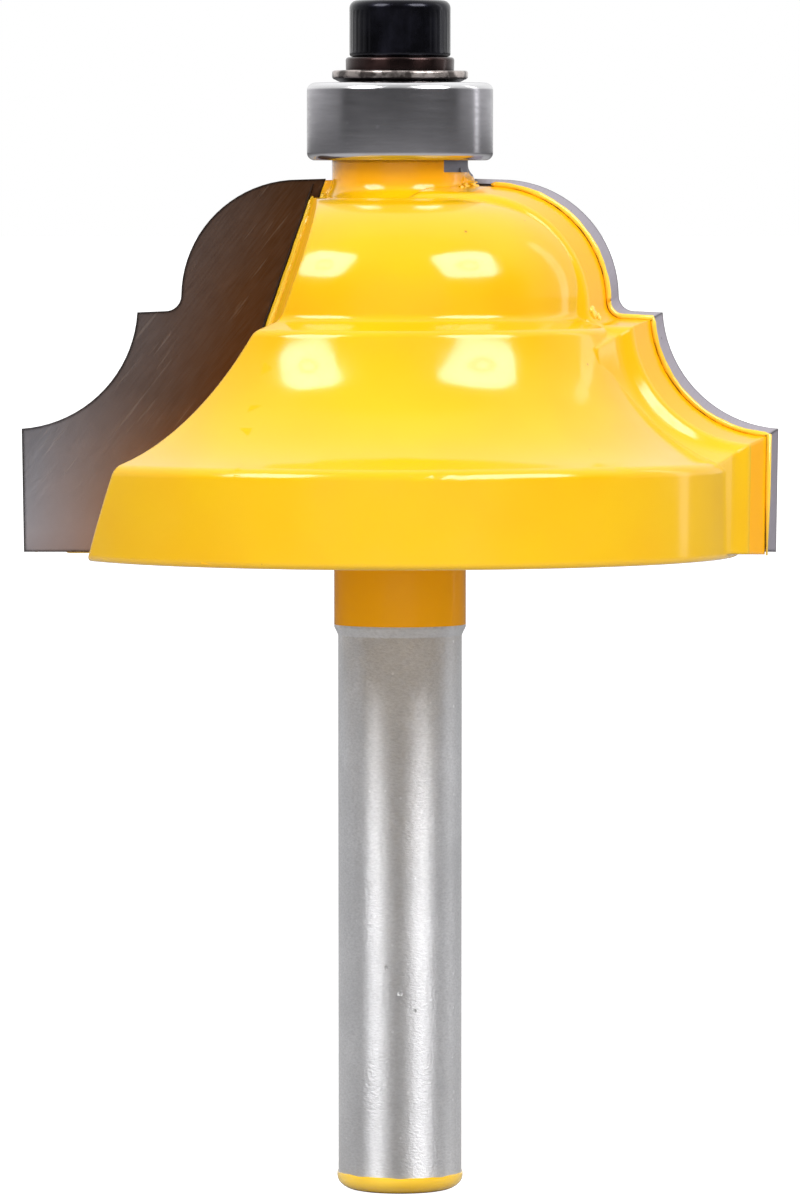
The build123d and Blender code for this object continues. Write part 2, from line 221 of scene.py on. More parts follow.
class StudioSettings(bpy.types.PropertyGroup):
    """Floor, lights and camera"""

    distance: length("Camera distance", "Distance from the camera to the bit's axis in mm", 440.0)
    height: length("Camera height", "Height of the camera above the floor in mm", 52.5)
    aim: length("Aim height", "Height on the bit's axis at the picture's centre in mm", 30.33)
    view_height: length("Picture height", "Height that the picture spans at the axis in mm", 61.54)
    left_turn: angle("Left softbox azimuth", "Turn of the left softbox from the camera", 50.5)
    right_turn: angle("Right softbox azimuth", "Turn of the right softbox from the camera", 45.0)
    key_lift: angle("Softbox elevation", "Softbox height above the horizon", 36.0)
    strip_turn: angle("Strip azimuth", "Turn of the narrow strip light from the camera", 110.0)
    strip_width: length("Strip width", "Width of the strip light in mm", 90.0)
    key_distance: length("Softbox distance", "Distance from the softboxes to the bit in mm", 600.0)
    left_width: length("Left softbox width", "Width of the left softbox in mm", 310.0)
    right_width: length("Right softbox width", "Width of the right softbox in mm", 380.0)
    key_height: length("Softbox height", "Height of both softboxes in mm", 330.0)
    key_radiance: power("Softbox brightness", "Watts per square metre of softbox", 28.0)
    fill_power: power("Fill power", "Power of the soft fill by the camera in watts", 2.5)
    floor_tone: colour("Floor", "Colour of the floor near the bit", (0.46, 0.46, 0.46))


# ------------------------------------------------------------------ node tools
def put(tree, kind, inputs=None, **settings):
    """Add a node, link or set its inputs, and return it."""
    node = tree.nodes.new(kind)
    for key, value in settings.items():
        setattr(node, key, value)
    for key, value in (inputs or {}).items():
        if isinstance(value, bpy.types.NodeSocket):
            tree.links.new(value, node.inputs[key])
        else:
            node.inputs[key].default_value = value
    return node


def maths(tree, operation, *values, clamp=False):
    """Add a Math node and return its result."""
    inputs = dict(enumerate(values))
    return put(tree, "ShaderNodeMath", inputs, operation=operation, use_clamp=clamp).outputs[0]


def product(tree, first, second):
    """Multiply two values and return the result."""
    return maths(tree, "MULTIPLY", first, second)


def axes_of(tree, vector):
    """Split a vector and return its three outputs."""
    return put(tree, "ShaderNodeSeparateXYZ", {0: vector}).outputs


def ramp(tree, value, low, high, bottom=0.0, top=1.0):
    """Map a value from low..high to bottom..top, held at both ends, and return it."""
    node = put(
        tree,
        "ShaderNodeMapRange",
        {"Value": value, "From Min": low, "From Max": high, "To Min": bottom, "To Max": top},
    )
    return node.outputs["Result"]


def blend(tree, factor, first, second):
    """Mix two colours and return the mix; a colour is a socket or three numbers."""
    first, second = (
        tone if isinstance(tone, bpy.types.NodeSocket) else (*tone, 1.0)
        for tone in (first, second)
    )
    inputs = {0: factor, 6: first, 7: second}
    return put(tree, "ShaderNodeMix", inputs, data_type="RGBA").outputs[2]


def noise(tree, vector, scale, detail=3.0, roughness=0.5):
    """Add a noise texture and return its value."""
    inputs = {"Vector": vector, "Scale": scale, "Detail": detail, "Roughness": roughness}
    return put(tree, "ShaderNodeTexNoise", inputs).outputs["Fac"]


def effect(name, inputs, outputs):
    """Start a shader node group; return its tree, input sockets and output node."""
    tree = bpy.data.node_groups.new(name, "ShaderNodeTree")
    for label, kind, default in inputs:
        socket = tree.interface.new_socket(label, in_out="INPUT", socket_type=kind)
        if default is not None:
            socket.default_value = default
    for label in outputs:
        tree.interface.new_socket(label, in_out="OUTPUT", socket_type="NodeSocketFloat")
    entry = tree.nodes.new("NodeGroupInput").outputs
    return tree, entry, tree.nodes.new("NodeGroupOutput")


def build_edge_effect():
    """Mask of a piece's worn edges, broken up along them."""
    tree, entry, leave = effect(
        "Edge Wear",
        (
            ("Vector", "NodeSocketVector", None),
            ("Radius", "NodeSocketFloat", 0.0001),
            ("Breakup Scale", "NodeSocketFloat", 2000.0),
            ("Breakup", "NodeSocketFloat", 0.5),
        ),
        ("Mask",),
    )
    bevel = put(tree, "ShaderNodeBevel", {"Radius": entry["Radius"]}, samples=6)
    flat = put(tree, "ShaderNodeNewGeometry").outputs["Normal"]
    dot = put(tree, "ShaderNodeVectorMath", operation="DOT_PRODUCT")
    tree.links.new(bevel.outputs["Normal"], dot.inputs[0])
    tree.links.new(flat, dot.inputs[1])
    edge = ramp(tree, maths(tree, "SUBTRACT", 1.0, dot.outputs["Value"]), 0.01, 0.12)
    broken = ramp(tree, noise(tree, entry["Vector"], entry["Breakup Scale"]), 0.35, 0.6)
    kept = maths(tree, "SUBTRACT", 1.0, entry["Breakup"])
    strength = maths(tree, "MULTIPLY_ADD", broken, entry["Breakup"], kept)
    tree.links.new(maths(tree, "MULTIPLY", edge, strength, clamp=True), leave.inputs["Mask"])
    return tree


def build_speck_effect():
    """Mask of sparse small specks, one in a share of the cells."""
    tree, entry, leave = effect(
        "Specks",
        (
            ("Vector", "NodeSocketVector", None),
            ("Scale", "NodeSocketFloat", 1000.0),
            ("Share", "NodeSocketFloat", 0.1),
            ("Size", "NodeSocketFloat", 0.2),
        ),
        ("Mask",),
    )
    cells = put(tree, "ShaderNodeTexVoronoi", {"Vector": entry["Vector"], "Scale": entry["Scale"]})
    channels = put(tree, "ShaderNodeSeparateColor", {0: cells.outputs["Color"]})
    size = maths(tree, "MULTIPLY", entry["Size"], channels.outputs[1])
    inner = maths(tree, "MULTIPLY", size, 0.5)
    spot = ramp(tree, cells.outputs["Distance"], size, inner)
    chosen = maths(tree, "LESS_THAN", channels.outputs[0], entry["Share"])
    tree.links.new(product(tree, spot, chosen), leave.inputs["Mask"])
    return tree


def build_grinding_effect():
    """Fine lines drawn out along one direction, and the few deep ones among them."""
    tree, entry, leave = effect(
        "Grinding Lines",
        (
            ("Vector", "NodeSocketVector", None),
            ("Turn", "NodeSocketVector", (0.0, 0.0, 0.0)),
            ("Stretch", "NodeSocketVector", (1.0, 1.0, 30.0)),
            ("Scale", "NodeSocketFloat", 300.0),
        ),
        ("Lines", "Scratches"),
    )
    turned = put(
        tree,
        "ShaderNodeMapping",
        {"Vector": entry["Vector"], "Rotation": entry["Turn"]},
        vector_type="POINT",
    ).outputs[0]
    inputs = {0: turned, 1: entry["Stretch"]}
    drawn = put(tree, "ShaderNodeVectorMath", inputs, operation="MULTIPLY")
    lines = noise(tree, drawn.outputs[0], entry["Scale"], 4.0, 0.6)
    rarer = maths(tree, "MULTIPLY", entry["Scale"], 0.45)
    deep = noise(tree, drawn.outputs[0], rarer, 1.0, 0.4)
    tree.links.new(lines, leave.inputs["Lines"])
    tree.links.new(ramp(tree, deep, 0.66, 0.72), leave.inputs["Scratches"])
    return tree


def facing(tree, axis):
    """How far the surface faces along one of the piece's own axes, from 0 to 1."""
    own = put(
        tree,
        "ShaderNodeVectorTransform",
        {0: put(tree, "ShaderNodeNewGeometry").outputs["Normal"]},
        vector_type="NORMAL",
        convert_from="WORLD",
        convert_to="OBJECT",
    ).outputs[0]
    return maths(tree, "ABSOLUTE", axes_of(tree, own)[axis])


BUILDERS = {
    "Edge Wear": build_edge_effect,
    "Specks": build_speck_effect,
    "Grinding Lines": build_grinding_effect,
}
EFFECTS = {}


def use_effect(tree, name, inputs):
    """Place a shared effect in a material and return its outputs."""
    if name not in EFFECTS:
        EFFECTS[name] = BUILDERS[name]()
    return put(tree, "ShaderNodeGroup", inputs, node_tree=EFFECTS[name]).outputs


def specks(tree, place, scale, portion, size):
    """Mask of sparse specks in a material."""
    inputs = {"Vector": place, "Scale": scale, "Share": portion, "Size": size}
    return use_effect(tree, "Specks", inputs)["Mask"]


def worn_edges(tree, place, radius, scale, breakup):
    """Mask of a material's worn edges."""
    inputs = {"Vector": place, "Radius": radius, "Breakup Scale": scale, "Breakup": breakup}
    return use_effect(tree, "Edge Wear", inputs)["Mask"]


def grinding(tree, place, stretch, scale, turn=(0.0, 0.0, 0.0)):
    """Grinding lines in a material, drawn out across its height."""
    inputs = {"Vector": place, "Turn": turn, "Stretch": (1.0, 1.0, stretch), "Scale": scale}
    return use_effect(tree, "Grinding Lines", inputs)


def start_material(name, **fixed):
    """Make a material; return its tree, its Principled shader and the piece's own coordinates."""
    material = bpy.data.materials.new(name)
    material.use_nodes = True
    tree = material.node_tree
    shader = tree.nodes["Principled BSDF"]
    for key, value in fixed.items():
        socket = shader.inputs[key.replace("_", " ").title().replace("Ior", "IOR")]
        socket.default_value = (*value, 1.0) if isinstance(value, tuple) else value
    place = put(tree, "ShaderNodeTexCoord").outputs["Object"]
    return material, tree, shader, place


def rough_and_bumped(tree, shader, roughness, height, distance, strength=1.0, round_edges=0.0):
    """Link a roughness and a height to a shader."""
    bump = put(
        tree, "ShaderNodeBump", {"Strength": strength, "Distance": distance, "Height": height}
    )
    if round_edges > 0.0:
        soft = put(tree, "ShaderNodeBevel", {"Radius": round_edges}, samples=8)
        tree.links.new(soft.outputs[0], bump.inputs["Normal"])
    tree.links.new(bump.outputs[0], shader.inputs["Normal"])
    if roughness is not None:
        tree.links.new(roughness, shader.inputs["Roughness"])


# ------------------------------------------------------------------ materials
def make_enamel(settings, name, tone, deep_tone, coat=0.42, shine=0.42, softness=0.0):
    """Glossy enamel with a faint orange peel, pools of deeper colour and a few pits."""
    material, tree, shader, place = start_material(
        name, coat_weight=coat, coat_roughness=0.07, specular_ior_level=shine
    )
    pools = ramp(tree, noise(tree, place, 160.0, 2.0), 0.42, 0.72)
    base = blend(tree, pools, tuple(tone), tuple(deep_tone))
    # Painted shade: the lower neck under the body and the nose under the bearing blend to the
    # darker, more orange shaded colour, but the shank's end does not.
    height = axes_of(tree, place)[2]
    lower = ramp(tree, height, (NECK_TOP - 0.15) * MM, (NECK_TOP - 0.75) * MM)
    lower = product(tree, lower, ramp(tree, height, 2.0 * MM, 3.0 * MM))
    upper = ramp(tree, height, (TIP_TOP - 0.9) * MM, TIP_TOP * MM, 0.0, 0.85)
    base = blend(tree, maths(tree, "ADD", lower, upper), base, tuple(settings.painted_shade_tone))
    pits = specks(tree, place, 620.0, 0.055, 0.08)
    dust = specks(tree, place, 1900.0, 0.02, 0.22)
    marks = maths(tree, "MAXIMUM", product(tree, pits, 0.75), product(tree, dust, 0.5))
    tree.links.new(blend(tree, marks, base, (0.32, 0.13, 0.02)), shader.inputs["Base Color"])
    peel = noise(tree, place, 520.0, 1.0)
    swell = noise(tree, place, 190.0, 1.0)
    relief = maths(tree, "MULTIPLY_ADD", swell, 3.0, peel)
    relief = maths(tree, "MULTIPLY_ADD", pits, -2.0, relief)
    low, high = settings.roughness * 0.7, settings.roughness * 1.5
    rough = ramp(tree, noise(tree, place, 340.0), 0.3, 0.8, low, high)
    rough_and_bumped(tree, shader, rough, relief, 0.00001, 0.55, softness * MM)
    return material


def make_gullet_coat(settings):
    """Duller enamel on the floors of the gullets: painted shade in the darker, more orange colour,
    with the plain colour along its thicker runs.
    """
    material, tree, shader, place = start_material("gullet_enamel", specular_ior_level=0.12)
    runs = grinding(tree, place, 0.12, 700.0)["Lines"]
    thick = ramp(tree, runs, 0.35, 0.7)
    # Painted shade: the floor takes the shaded colour, and the plain colour only along the runs.
    base = blend(tree, thick, tuple(settings.painted_shade_tone), tuple(settings.tone))
    tree.links.new(base, shader.inputs["Base Color"])
    rough_and_bumped(tree, shader, ramp(tree, runs, 0.3, 0.7, 0.35, 0.5), runs, 0.00012, 1.0)
    return material


def make_bare_patch():
    """Dark steel where the grinding wheel ran through the enamel."""
    material, tree, shader, place = start_material("ground_nose", metallic=1.0)
    lines = grinding(tree, place, 8.0, 900.0)["Lines"]
    base = blend(tree, lines, (0.10, 0.10, 0.12), (0.34, 0.33, 0.37))
    tree.links.new(base, shader.inputs["Base Color"])
    rough_and_bumped(tree, shader, ramp(tree, lines, 0.3, 0.7, 0.3, 0.5), lines, 0.00001)
    return material


def make_carbide(settings):
    """Ground carbide, grey outside and darker towards the axis, with honed edges drawn near-black
    as painted dark reflection.
    """
    material, tree, shader, place = start_material(
        "ground_carbide", metallic=0.85, specular_ior_level=0.4
    )
    axes = axes_of(tree, place)
    # Distance outwards from the line where the gullet's floor meets the face.
    across = maths(tree, "ABSOLUTE", axes[0])
    rise = maths(tree, "SUBTRACT", axes[2], ROOT_LOW[1] * MM)
    outward = maths(tree, "SUBTRACT", across, ROOT_LOW[0] * MM)
    inset = product(tree, rise, sin(ROOT_LEAN))
    inset = maths(tree, "MULTIPLY_ADD", outward, cos(ROOT_LEAN), inset)
    cloud = ramp(tree, noise(tree, place, 150.0, 3.0), 0.25, 0.75, -0.7 * MM, 0.7 * MM)
    inset = maths(tree, "ADD", inset, cloud)
    warmth = ramp(tree, inset, 1.6 * MM, 8.6 * MM)
    base = blend(tree, warmth, tuple(settings.warm_tone), tuple(settings.tone))
    # Painted dark reflection: the face is darkest about halfway up.
    height = maths(tree, "ADD", rise, product(tree, cloud, 1.5))
    low = ramp(tree, height, 8.5 * MM, 1.0 * MM, 0.36, 1.0)
    high = ramp(tree, height, 20.0 * MM, 9.0 * MM, 0.6, 1.0)
    base = blend(tree, product(tree, low, high), (0.0, 0.0, 0.0), base)
    # The flanks are the same grey all over: only the face has the warm tint.
    base = blend(tree, ramp(tree, facing(tree, 1), 0.9, 0.7), base, tuple(settings.flank_tone))
    marks = grinding(tree, place, 16.0, 620.0, (0.0, settings.scratch_turn, 0.0))
    lines, scratches = marks["Lines"], marks["Scratches"]
    base = blend(tree, ramp(tree, lines, 0.3, 0.8, 0.0, 0.07), base, (0.45, 0.42, 0.42))
    base = blend(tree, product(tree, scratches, 0.12), base, (0.5, 0.42, 0.36))
    pits = specks(tree, place, 1500.0, 0.12, 0.24)
    base = blend(tree, product(tree, pits, 0.55), base, (0.02, 0.015, 0.015))
    # Painted dark reflection: the honed edges are drawn near-black.
    edge = worn_edges(tree, place, settings.edge_width * MM, 1800.0, 0.1)
    base = blend(tree, edge, base, tuple(settings.edge_tone))
    tree.links.new(base, shader.inputs["Base Color"])
    relief = maths(tree, "MULTIPLY_ADD", scratches, -0.8, lines)
    relief = maths(tree, "MULTIPLY_ADD", pits, -1.0, relief)
    rough = ramp(tree, lines, 0.3, 0.75, 0.34, 0.52)
    rough_and_bumped(tree, shader, rough, relief, 0.000004, 0.7)
    return material


def make_braze(settings):
    """Dull brown braze with a grainy skin, near-black so that along the tips' inner edges it also
    draws the shade there.
    """
    material, tree, shader, place = start_material("braze", metallic=0.55)
    grain = noise(tree, place, 2600.0, 3.0)
    dark = ramp(tree, grain, 0.35, 0.7)
    base = blend(tree, dark, tuple(settings.braze_and_shade_tone), (0.02, 0.010, 0.006))
    tree.links.new(base, shader.inputs["Base Color"])
    rough_and_bumped(tree, shader, ramp(tree, grain, 0.3, 0.7, 0.4, 0.7), grain, 0.00003)
    return material


def make_ground_steel(
    name, tone, roughness, stretch, scale, spread=0.0, depth=0.000003, edge=0.0, painted_corner_highlight=0.0
):
    """Ground steel with lines round its axis and small nicks; its edges may be worn brighter, and
    its rounded corners may carry a painted highlight.
    """
    material, tree, shader, place = start_material(name, metallic=1.0, anisotropic=spread)
    if spread > 0.0:
        # The lines run round the axis, so they draw reflections out along it.
        shader.inputs["Anisotropic Rotation"].default_value = 0.25
        tangent = put(tree, "ShaderNodeTangent", direction_type="RADIAL", axis="Z").outputs[0]
        tree.links.new(tangent, shader.inputs["Tangent"])
    lines = grinding(tree, place, stretch, scale)["Lines"]
    nicks = specks(tree, place, 1300.0, 0.07, 0.2)
    cloud = noise(tree, place, 260.0, 3.0)
    tone = Vector(tone)
    base = blend(tree, ramp(tree, cloud, 0.3, 0.75), tuple(tone * 0.88), tuple(tone * 1.08))
    base = blend(tree, ramp(tree, lines, 0.35, 0.7, 0.0, 0.5), base, tuple(tone * 0.7))
    bright = specks(tree, place, 2600.0, 0.1, 0.3)
    base = blend(tree, product(tree, bright, 0.5), base, tuple(tone * 1.35))
    base = blend(tree, product(tree, nicks, 0.5), base, tuple(tone * 0.35))
    if edge > 0.0:
        worn = worn_edges(tree, place, edge, 1200.0, 0.4)
        base = blend(tree, product(tree, worn, 0.6), base, (0.75, 0.75, 0.76))
    if painted_corner_highlight > 0.0:
        # Painted highlight: the rounded corners are drawn brighter than the ground sides, most at
        # the top where they catch the light.
        upright = facing(tree, 2)
        corner = product(tree, ramp(tree, upright, 0.1, 0.28), ramp(tree, upright, 0.99, 0.9))
        height = axes_of(tree, place)[2]
        upper = ramp(tree, height, (RING_LOW + 1.0) * MM, (RING_TOP - 1.0) * MM, 0.25, 1.0)
        shine = product(tree, product(tree, corner, upper), painted_corner_highlight)
        base = blend(tree, shine, base, (0.95, 0.95, 0.96))
    tree.links.new(base, shader.inputs["Base Color"])
    relief = maths(tree, "MULTIPLY_ADD", nicks, -1.5, lines)
    rough = ramp(tree, lines, 0.25, 0.8, roughness * 0.8, roughness * 1.25)
    rough_and_bumped(tree, shader, rough, relief, depth)
    return material


def make_black_oxide(name, tone, worn_tone, wear, edge_radius, rim=0.0):
    """Oiled blackened steel, rubbed bright along its edges."""
    material, tree, shader, place = start_material(
        name, metallic=1.0, coat_weight=0.3, coat_roughness=0.12
    )
    cloud = noise(tree, place, 700.0, 4.0)
    tone = Vector(tone)
    base = blend(tree, ramp(tree, cloud, 0.35, 0.75), tuple(tone), tuple(tone * 2.4))
    worn = worn_edges(tree, place, edge_radius * MM, 1500.0, 0.85)
    base = blend(tree, product(tree, worn, wear), base, worn_tone)
    if rim > 0.0:
        # The upper side is rubbed bare in patches from this distance outwards.
        inputs = {0: place, 1: (1.0, 1.0, 0.0)}
        flat = put(tree, "ShaderNodeVectorMath", inputs, operation="MULTIPLY").outputs[0]
        out = put(tree, "ShaderNodeVectorMath", {0: flat}, operation="LENGTH").outputs["Value"]
        bare = ramp(tree, out, rim * MM, (rim + 0.05) * MM)
        height = axes_of(tree, place)[2]
        high = ramp(tree, height, (WASHER_LOW + 0.2) * MM, (WASHER_LOW + 0.26) * MM)
        patchy = ramp(tree, noise(tree, place, 1500.0, 3.0), 0.4, 0.55, 0.15, 1.0)
        base = blend(tree, product(tree, product(tree, bare, high), patchy), base, worn_tone)
    tree.links.new(base, shader.inputs["Base Color"])
    rough_and_bumped(tree, shader, ramp(tree, cloud, 0.3, 0.75, 0.2, 0.42), cloud, 0.00001, 0.6)
    return material


# ------------------------------------------------------------------ mesh tools
def rounded(corners, closed=True, facets=5):
    """Outline of (radius, height, fillet) corners with each corner rounded by its fillet."""
    outline = []
    count = len(corners)
    for index, (across, up, fillet) in enumerate(corners):
        here = Vector((across, up))
        if fillet <= 0.0 or (not closed and index in (0, count - 1)):
            outline.append((across, up))
            continue
        before = Vector(corners[index - 1][:2]) - here
        after = Vector(corners[(index + 1) % count][:2]) - here
        half = before.angle(after) / 2
        reach = min(fillet / tan(half), 0.49 * before.length, 0.49 * after.length)
        radius = reach * tan(half)
        inward = (before.normalized() + after.normalized()).normalized()
        centre = here + inward * radius / sin(half)
        first = here + before.normalized() * reach - centre
        last = here + after.normalized() * reach - centre
        sweep = first.angle_signed(last)
        for step in range(facets + 1):
            turned = Matrix.Rotation(-sweep * step / facets, 2) @ first
            outline.append(tuple(centre + turned))
    return outline


def add_piece(name, verts, faces, body, material):
    """Make a smooth piece that rides on a body."""
    mesh = bpy.data.meshes.new(name)
    mesh.from_pydata([tuple(v) for v in verts], [], faces)
    mesh.validate()
    mesh.shade_smooth()
    mesh.materials.append(material)
    return adopt(name, mesh, body)


def turned(name, rings, body, slot, material, segments=192, closed=True):
    """Turn rings of (radius, height) round Z; a radius may depend on the angle."""
    verts, faces = [], []
    for radius, height in rings:
        for step in range(segments):
            around = tau * step / segments
            reach = radius(around) if callable(radius) else radius
            verts.append(Vector((reach * cos(around), reach * sin(around), height)) * MM)
    count = len(rings)
    for ring in range(count if closed else count - 1):
        above = (ring + 1) % count
        for step in range(segments):
            ahead = (step + 1) % segments
            low, high = ring * segments, above * segments
            faces.append((low + step, low + ahead, high + ahead, high + step))
    if not closed:
        faces.append(tuple(reversed(range(segments))))
        faces.append(tuple(range((count - 1) * segments, count * segments)))
    piece = add_piece(name, verts, faces, body, material)
    piece.data.set_sharp_from_angle(angle=SHARP)
    return piece


def dress_node(node, material):
    """Give a CAD node its finish."""
    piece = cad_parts[node]
    if not piece.material_slots:
        piece.data.materials.append(material)
    for slot in piece.material_slots:
        slot.material = material


def core_reach(heights):
    """Radius of the body between the wings at each height."""
    band = np.full(len(heights), CORE_RADIUS)
    inside = CORE_COVE_RADIUS**2 - (COVE_CENTRE[1] - heights) ** 2
    cove = COVE_CENTRE[0] - np.sqrt(np.clip(inside, 0.0, None))
    inside = CORE_BEAD_RADIUS**2 - (heights - CORE_BEAD_CENTRE[1]) ** 2
    bead = CORE_BEAD_CENTRE[0] + np.sqrt(np.clip(inside, 0.0, None))
    above_band = np.where(heights < CORE_SHOULDER, cove, bead)
    return np.where(heights < CORE_BAND_TOP, band, above_band)


def on_wing_land(points):
    """True at each point (mm) on the ground land just behind either tip."""
    depth = -points[:, 1] * np.sign(points[:, 0])
    proud = np.hypot(points[:, 0], points[:, 1]) - core_reach(points[:, 2])
    behind_tip = (depth > LAND_START) & (depth < LAND_END)
    return behind_tip & (proud > 0.05) & (points[:, 2] > NECK_TOP + 0.05)


def on_gullet_floor(points):
    """True at each point (mm) that lies on the floor of either gullet."""
    depth = points[:, 1] * np.sign(points[:, 0])
    across = np.abs(points[:, 0]) + depth * tan(FLOOR_SWEEP)
    off = across - ROOT_LOW[0] + (points[:, 2] - ROOT_LOW[1]) * tan(ROOT_LEAN)
    return (np.abs(off) < 0.03) & (depth > 0.0)


def part_of_mesh(mesh, name, kept):
    """Copy some of a mesh's faces with the normals that they have there."""
    corners = np.empty(len(mesh.loops), dtype=np.int32)
    mesh.loops.foreach_get("vertex_index", corners)
    normals = np.empty(len(mesh.loops) * 3)
    mesh.corner_normals.foreach_get("vector", normals)
    normals = normals.reshape(-1, 3)
    places = np.empty(len(mesh.vertices) * 3)
    mesh.vertices.foreach_get("co", places)
    loops = [list(mesh.polygons[index].loop_indices) for index in kept]
    used, faces = np.unique(corners[np.concatenate(loops)], return_inverse=True)
    ends = np.cumsum([len(loop) for loop in loops])[:-1]
    copy = bpy.data.meshes.new(name)
    points = places.reshape(-1, 3)[used].tolist()
    copy.from_pydata(points, [], [face.tolist() for face in np.split(faces, ends)])
    copy.shade_smooth()
    copy.normals_split_custom_set(normals[np.concatenate(loops)].tolist())
    return copy


def quarter(steps=8):
    """Angles from 0 to a quarter turn."""
    return [pi / 2 * step / steps for step in range(steps + 1)]


def arc(centre, radius, start, end, steps):
    """Points of an arc in the plane of a tip's face; angles in degrees."""
    turns = [radians(start + (end - start) * step / steps) for step in range(steps + 1)]
    return [(centre[0] + radius * cos(turn), centre[1] + radius * sin(turn)) for turn in turns]


def cutting_profile():
    """Cutting profile as (distance from the axis, height), from the nose to the lower corner."""
    points = arc(BEAD_CENTRE, BEAD_RADIUS, 90.0, 0.6, 40)
    points += arc(CREASE_CENTRE, CREASE_RADIUS, 180.6, 267.5, 8)
    points += arc(COVE_CENTRE, COVE_RADIUS, 183.4, 266.3, 40)
    return points + CUTTING_EDGE


def root_line(start, end, steps=60):
    """Points along the line where the gullet's floor meets tip 2's face, from bottom to top."""
    low, high = ROOT_LOW[1] + start, TIP_TOP + end
    heights = np.linspace(low, high, steps)
    return [(ROOT_LOW[0] - (up - ROOT_LOW[1]) * tan(ROOT_LEAN), 0.0, up) for up in heights]


def shifted(points, across):
    """Points moved outwards, and a hair out of the face."""
    return [(point[0] + across, point[1] + 0.02, point[2]) for point in points]


def lump_places(segments, rings):
    """Points of a round lump of radius 1, from its top to its foot, always in one order."""
    places = [Vector((0.0, 0.0, 1.0))]
    for ring in range(1, rings):
        down = pi * ring / rings
        for step in range(segments):
            around = tau * step / segments
            across = sin(down)
            places.append(Vector((across * cos(around), across * sin(around), cos(down))))
    return places + [Vector((0.0, 0.0, -1.0))]


def lump_faces(segments, rings, first):
    """Faces over the points of one lump, whose own points begin at first."""
    foot = first + 1 + (rings - 1) * segments
    faces = []
    for step in range(segments):
        ahead = (step + 1) % segments
        faces.append((first, first + 1 + step, first + 1 + ahead))
        for ring in range(rings - 2):
            upper = first + 1 + ring * segments
            lower = upper + segments
            faces.append((upper + step, lower + step, lower + ahead, upper + ahead))
        faces.append((foot, foot - segments + ahead, foot - segments + step))
    return faces


def add_lumps(name, coat, lumps, body, material, segments=24, rings=16):
    """Low blobs set on the nearest points of the coat."""
    tree = BVHTree.FromPolygons(
        [vertex.co for vertex in coat.vertices], [face.vertices for face in coat.polygons]
    )
    verts, faces = [], []
    for spot, radius in lumps:
        place, outward = tree.find_nearest(Vector(spot) * MM)[:2]
        turn = outward.to_track_quat("Z", "Y").to_matrix()
        flatten = Matrix.Diagonal((1.0, 1.0, 0.5))
        faces += lump_faces(segments, rings, len(verts))
        for unit in lump_places(segments, rings):
            away = turn @ flatten @ (unit * radius * MM)
            around = atan2(away.x, away.z)
            swell = 1.0 + 0.18 * sin(2 * around + 9 * radius) + 0.08 * sin(5 * around)
            verts.append(place + away * swell)
    return add_piece(name, verts, faces, body, material)


def adopt(name, mesh, body):
    """Make a piece of a mesh and let it ride on a body."""
    piece = bpy.data.objects.new(name, mesh)
    bpy.context.scene.collection.objects.link(piece)
    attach(piece, body)
    return piece


def add_bead(name, points, radius, side, body, material, sides=10):
    """Uneven round bead along points given for tip 2, or for tip 1 where side is -1."""
    path = [Vector((side * x, side * y, z)) for x, y, z in points]
    verts, faces = [], []
    run = 0.0
    for index, middle in enumerate(path):
        before, after = path[max(index - 1, 0)], path[min(index + 1, len(path) - 1)]
        run += (middle - before).length
        along = (after - before).normalized()
        across = Vector((0.0, 1.0, 0.0))
        out = along.cross(across).normalized()
        size = radius * (1.0 + 0.09 * sin(3.1 * run) + 0.06 * sin(7.7 * run + 1.0))
        if index in (0, len(path) - 1):
            size *= 0.4
        for turn in range(sides):
            around = tau * turn / sides
            verts.append((middle + (across * cos(around) + out * sin(around)) * size) * MM)
    for row in range(0, (len(path) - 1) * sides, sides):
        for turn in range(sides):
            ahead = (turn + 1) % sides
            faces.append((row + turn, row + ahead, row + sides + ahead, row + sides + turn))
    last = (len(path) - 1) * sides
    faces.append(tuple(reversed(range(sides))))
    faces.append(tuple(range(last, last + sides)))
    return add_piece(name, verts, faces, body, material)


def bare_places(points):
    """True at each point (mm) on the flat and the hollow that the wheel left on the nose."""
    outward = points[:, 0] * cos(NOSE_FLAT_TURN) + points[:, 1] * sin(NOSE_FLAT_TURN)
    along = -points[:, 0] * sin(NOSE_FLAT_TURN) + points[:, 1] * cos(NOSE_FLAT_TURN)
    flat = (outward > NOSE_FLAT_REACH - 0.12) & (outward < 3.6)
    flat &= (np.abs(along) < NOSE_FLAT_HALF_WIDTH) & (points[:, 2] > BODY_TOP - NOSE_FLAT_HEIGHT)
    across, up, reach = NOSE_HOLLOW
    away = np.hypot(points[:, 0] - across, points[:, 2] - up)
    hollow = (away < reach) & (points[:, 0] < across)
    hollow &= (points[:, 1] > -1.5) & (points[:, 1] < 0.1)
    return flat | hollow


